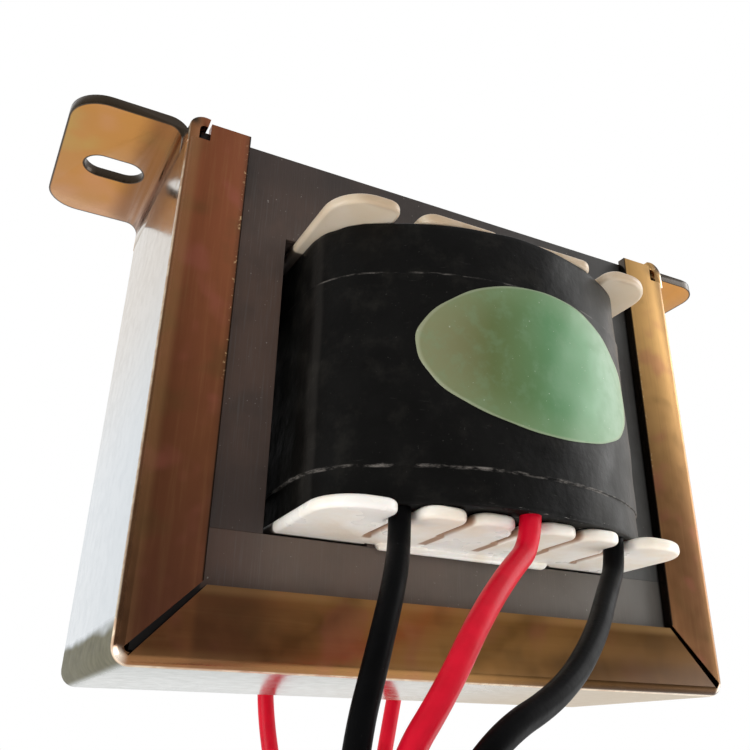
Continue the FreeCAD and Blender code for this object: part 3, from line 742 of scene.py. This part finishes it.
def black_tape_finish():
    """Satin black tape: cloudy gloss, fine scratches and dust, a painted sheen towards the right, pale
    scuffs along the edges of the second tape and at the lower rim, and a faint painted highlight along its
    free end."""
    m = Finish("black_tape")
    x, y, z = m.xyz()
    cloud = m.noise(5.0, 3.0, 0.6)
    scratch = m.noise(0.25, 3.0, 0.7, (0.12, 0.12, 1.0)).ramp(0.66, 0.8)
    dust = m.noise(0.3, 2.0, 0.6).ramp(0.7, 0.78)
    base = m.mix(cloud, (0.0022, 0.0021, 0.0019), (0.0062, 0.006, 0.0054))
    smear = m.noise(3.5, 4.0, 0.7).ramp(0.48, 0.72)
    base = m.mix(smear * 0.3, base, (0.024, 0.022, 0.018))
    # A painted sheen towards the right.
    base = m.mix(x.ramp(2.0, 20.0) * 0.7, base, (0.085, 0.081, 0.074))
    base = m.mix(scratch * 0.12, base, (0.16, 0.15, 0.14))
    base = m.mix(dust * 0.14, base, (0.20, 0.19, 0.17))
    patchy = m.noise(2.2, 4.0, 0.7, (1, 1, 3.0)).ramp(0.44, 0.7)
    low_edge = abs(z - tape_low).ramp(0.22, 0.05)
    high_edge = abs(z - tape_high).ramp(0.2, 0.05)
    # Pale scuffs along the edges of the second tape, and a faint painted highlight along the free end.
    free_end = abs(x - tape_end_x).ramp(0.35, 0.1) * y.ramp(-14.0, -18.0)
    rubbed_and_glint = (low_edge + high_edge * 0.7) * patchy + free_end * 0.05
    base = m.mix(rubbed_and_glint.least(1.0) * 0.6, base, (0.34, 0.31, 0.28))
    lint = m.noise(0.9, 4.0, 0.75, (0.5, 1, 3.0)).ramp(0.6, 0.72) * z.ramp(-44.6, -45.2) * x.ramp(-8.0, 2.0)
    base = m.mix(lint * 0.55, base, (0.60, 0.57, 0.52))
    rough = cloud.ramp(0.3, 0.7, 0.34, 0.5) + x.ramp(0.0, 20.0) * 0.06
    fine = m.noise(1.1, 4.0, 0.6)
    return m.surface(Base_Color=base, Roughness=rough, Specular_IOR_Level=0.09,
                     Normal=m.bump(fine, 0.05, m.bump(cloud, 0.12)))


black_tape = black_tape_finish()
coil = dress(taped_coil(), black_tape, "black_tape", "insulating_wrap", "outer_tape")
print("coil", len(coil.data.vertices), "points")

# %% [markdown]
# ## The sticker
#
# An oval paper sticker follows the bow of the tape. Its green runs from beige at the left to pale
# at the right, where a painted sheen lies on it. A flat oval would cut into the bow, so each point
# is laid on the bow's own curve.

# %% Sticker
oval_x, oval_z = 2.5, -29.45
oval_half_w, oval_half_h = 14.5, 8.1


def front_y(x, half_x, bow):
    """Y of a layer's front at x: on the front arc between the meeting points of the arcs, and on
    a corner's arc outside them."""
    corner_r, front_r, tilt = bow_arcs(half_x, bow)
    x = np.abs(x)
    on_front = bow - front_r + np.sqrt(np.maximum(front_r ** 2 - x ** 2, 0))
    on_corner = np.sqrt(np.maximum(corner_r ** 2 - (x - half_x + corner_r) ** 2, 0))
    return middle_y - bow_base - np.where(x < front_r * math.cos(tilt), on_front, on_corner)


def oval_sticker():
    """Rings of an oval laid on the bow, each point at its share of the half width and height,
    with a fine wave in the rim and a skirt down to the tape."""
    share = np.concatenate([np.linspace(0.0, 1.0, 34)[1:], [1.0]])
    turn = np.linspace(0, 2 * np.pi, 120, endpoint=False)
    rim = 1 + 0.004 * np.sin(7 * turn) + 0.003 * np.sin(17 * turn + 1)
    r = share[:, None] * rim
    x = oval_x + oval_half_w * r * np.cos(turn)
    z = oval_z + oval_half_h * r * np.sin(turn)
    thick = np.full(r.shape, 0.1) + 0.02 * np.sin(5 * turn) * share[:, None] ** 4
    thick[-1] = -0.05
    y = front_y(x, wrap_half, wrap_bow) - tape_t - tape_end_t - pull_waves(x, z) - thick
    centre_y = front_y(oval_x, wrap_half, wrap_bow) - tape_t - tape_end_t - 0.1
    points = np.vstack([[[oval_x, centre_y - pull_waves(oval_x, oval_z), oval_z]],
                        np.stack([x, y, z], -1).reshape(-1, 3)])
    count = len(turn)
    faces = [list(reversed(q)) for q in grid_faces(len(share), count, wrap_cols=True, start=1)]
    faces += [[0, 1 + j, 1 + (j + 1) % count] for j in range(count)]
    return new_piece("oval_sticker", points, faces)


def green_print():
    """Printed green: beige at the left rim, deep in the middle, pale at the right where a painted
    sheen lies on it, with pin holes and a lighter cut edge."""
    m = Finish("green_print")
    x, y, z = m.xyz()
    out = (((x - oval_x) / oval_half_w) ** 2.0 + ((z - oval_z) / oval_half_h) ** 2.0).sqrt()
    # Pale at the right is partly the print and partly a painted sheen.
    across = m.node("ShaderNodeValToRGB", {"stops": [
        (0.0, (0.21, 0.17, 0.085)), (0.2, (0.105, 0.14, 0.045)), (0.5, (0.075, 0.20, 0.075)),
        (0.75, (0.12, 0.29, 0.13)), (1.0, (0.28, 0.42, 0.28))]}, {0: x.ramp(-14.0, 19.0)})[0]
    mottle = m.noise(1.4, 3.0, 0.6)
    base = m.mix(out.ramp(0.55, 1.0) * 0.35, across, (0.20, 0.29, 0.15))
    base = m.mix(mottle.ramp(0.45, 0.7) * 0.25, base, (0.16, 0.27, 0.15))
    hole = m.noise(0.3, 1.0, 0.4).ramp(0.76, 0.8)
    base = m.mix(hole * 0.5, base, (0.50, 0.54, 0.44))
    base = m.mix(out.ramp(0.965, 0.99) * 0.35, base, (0.40, 0.42, 0.30))
    return m.surface(Base_Color=base, Roughness=mottle.ramp(0.3, 0.7, 0.36, 0.46),
                     Specular_IOR_Level=0.3, Normal=m.bump(m.noise(2.5, 2.0), 0.03))


sticker = dress(oval_sticker(), green_print(), "label_film", "label")
print("sticker", len(sticker.data.vertices), "points")


# %% [markdown]
# ## The layers under the tape
#
# The windings, the film between them, the bed that the leads lie on and the soldered joints are
# hidden in the finished part. They keep the shapes of the CAD frame and get plain finishes, so
# that a cut through the part shows what is what.

# %% Hidden layers
def plain(name, colour, rough, metallic=0.0):
    """Finish of a layer that is hidden in the finished part."""
    m = Finish(name)
    cloud = m.noise(1.2, 2.0)
    base = m.mix(cloud, colour, [c * 0.75 for c in colour])
    return m.surface(Base_Color=base, Roughness=rough, Metallic=metallic,
                     Normal=m.bump(m.noise(0.5, 1.0, 0.5, (0.1, 0.1, 4)), 0.03))


copper = plain("enamelled_copper", (0.55, 0.22, 0.09), 0.3, 0.9)
amber = plain("amber_film", (0.62, 0.42, 0.14), 0.25)
dark_pad = plain("dark_pad", (0.02, 0.018, 0.016), 0.6)
repaint("primary_winding", copper)
repaint("secondary_winding", copper)
repaint("winding_barrier", amber)
repaint("lead_bed", dark_pad)
for key in lead_routes:
    repaint("wire_joint_" + key, tin)
print("hidden layers painted")

# %% [markdown]
# ## Stage and light
#
# A plain pale floor lies under the hanging leads. The metal in the photograph mirrors something
# bright behind the part and to its right, and something dimmer behind the camera, so the room
# round the part is made that way. The world is written as that room: its brightness depends on
# the direction of a ray and on its kind, so that the camera sees plain white while polished metal
# mirrors the room.

# %% Floor, world and lamps
def room():
    """World: plain white to the camera. To mirrored and transmitted rays it is a room that dims
    smoothly behind the camera, more so near the horizon, and to all other rays it is an even
    light that is a little weaker from there."""
    world = bpy.data.worlds.new("room")
    bpy.context.scene.world = world
    m = Finish("room", world)
    direction = m.node("ShaderNodeTexCoord")[0]
    toward = m.node("ShaderNodeVectorMath", {"operation": "DOT_PRODUCT"},
                    {0: direction, 1: (0.6, 0.8, 0.0)})[1]
    height = m.xyz(direction)[2]
    behind = toward.ramp(-0.75, 0.65)
    mirrored = behind + (1.0 - behind) * height.ramp(0.02, 0.6, 0.14, 0.5)
    plain_level = toward.ramp(-1.0, 1.0, 0.75, 1.1)
    camera_ray, glossy_ray, through_ray = (m.node("ShaderNodeLightPath")[k] for k in (0, 3, 6))
    shiny = (glossy_ray + through_ray).least(1.0)
    strength = camera_ray + (1.0 - camera_ray) * (shiny * mirrored + (1.0 - shiny) * plain_level)
    back = m.node("ShaderNodeBackground", None, {"Color": (1.0, 1.0, 1.0), "Strength": strength})[0]
    m.node("ShaderNodeOutputWorld", None, {"Surface": back})


def floor(z):
    """Pale round floor, a flat disc."""
    radius, count = 600, 96
    turn = np.linspace(0, 2 * np.pi, count, endpoint=False)
    points = np.stack([radius * np.cos(turn), radius * np.sin(turn), np.full(count, z)], 1)
    obj = new_piece("floor", points, [list(range(count))], smooth=False)
    m = Finish("pale_floor")
    cloud = m.noise(60.0, 2.0)
    obj.data.materials.append(m.surface(Base_Color=m.mix(cloud, (0.86, 0.86, 0.86), (0.9, 0.9, 0.9)),
                                        Roughness=0.7))


def lamp(name, place, aim, size, power):
    """Square area lamp that faces a point."""
    light = bpy.data.lights.new(name, "AREA")
    light.size, light.energy = size * MM, power
    obj = bpy.data.objects.new(name, light)
    bpy.context.collection.objects.link(obj)
    obj.location = Vector(place) * MM
    obj.rotation_euler = (Vector(aim) - Vector(place)).to_track_quat("-Z", "Y").to_euler()


room()
floor(-150.0)
lamp("window_right", (340, -90, 90), (0, 0, -30), 240, 0.5)
lamp("low_left", (-190, -40, -135), (0, -10, -48), 150, 0.3)
lamp("low_right", (190, -60, -135), (0, -10, -48), 150, 0.24)
print("room, floor and 3 lamps")
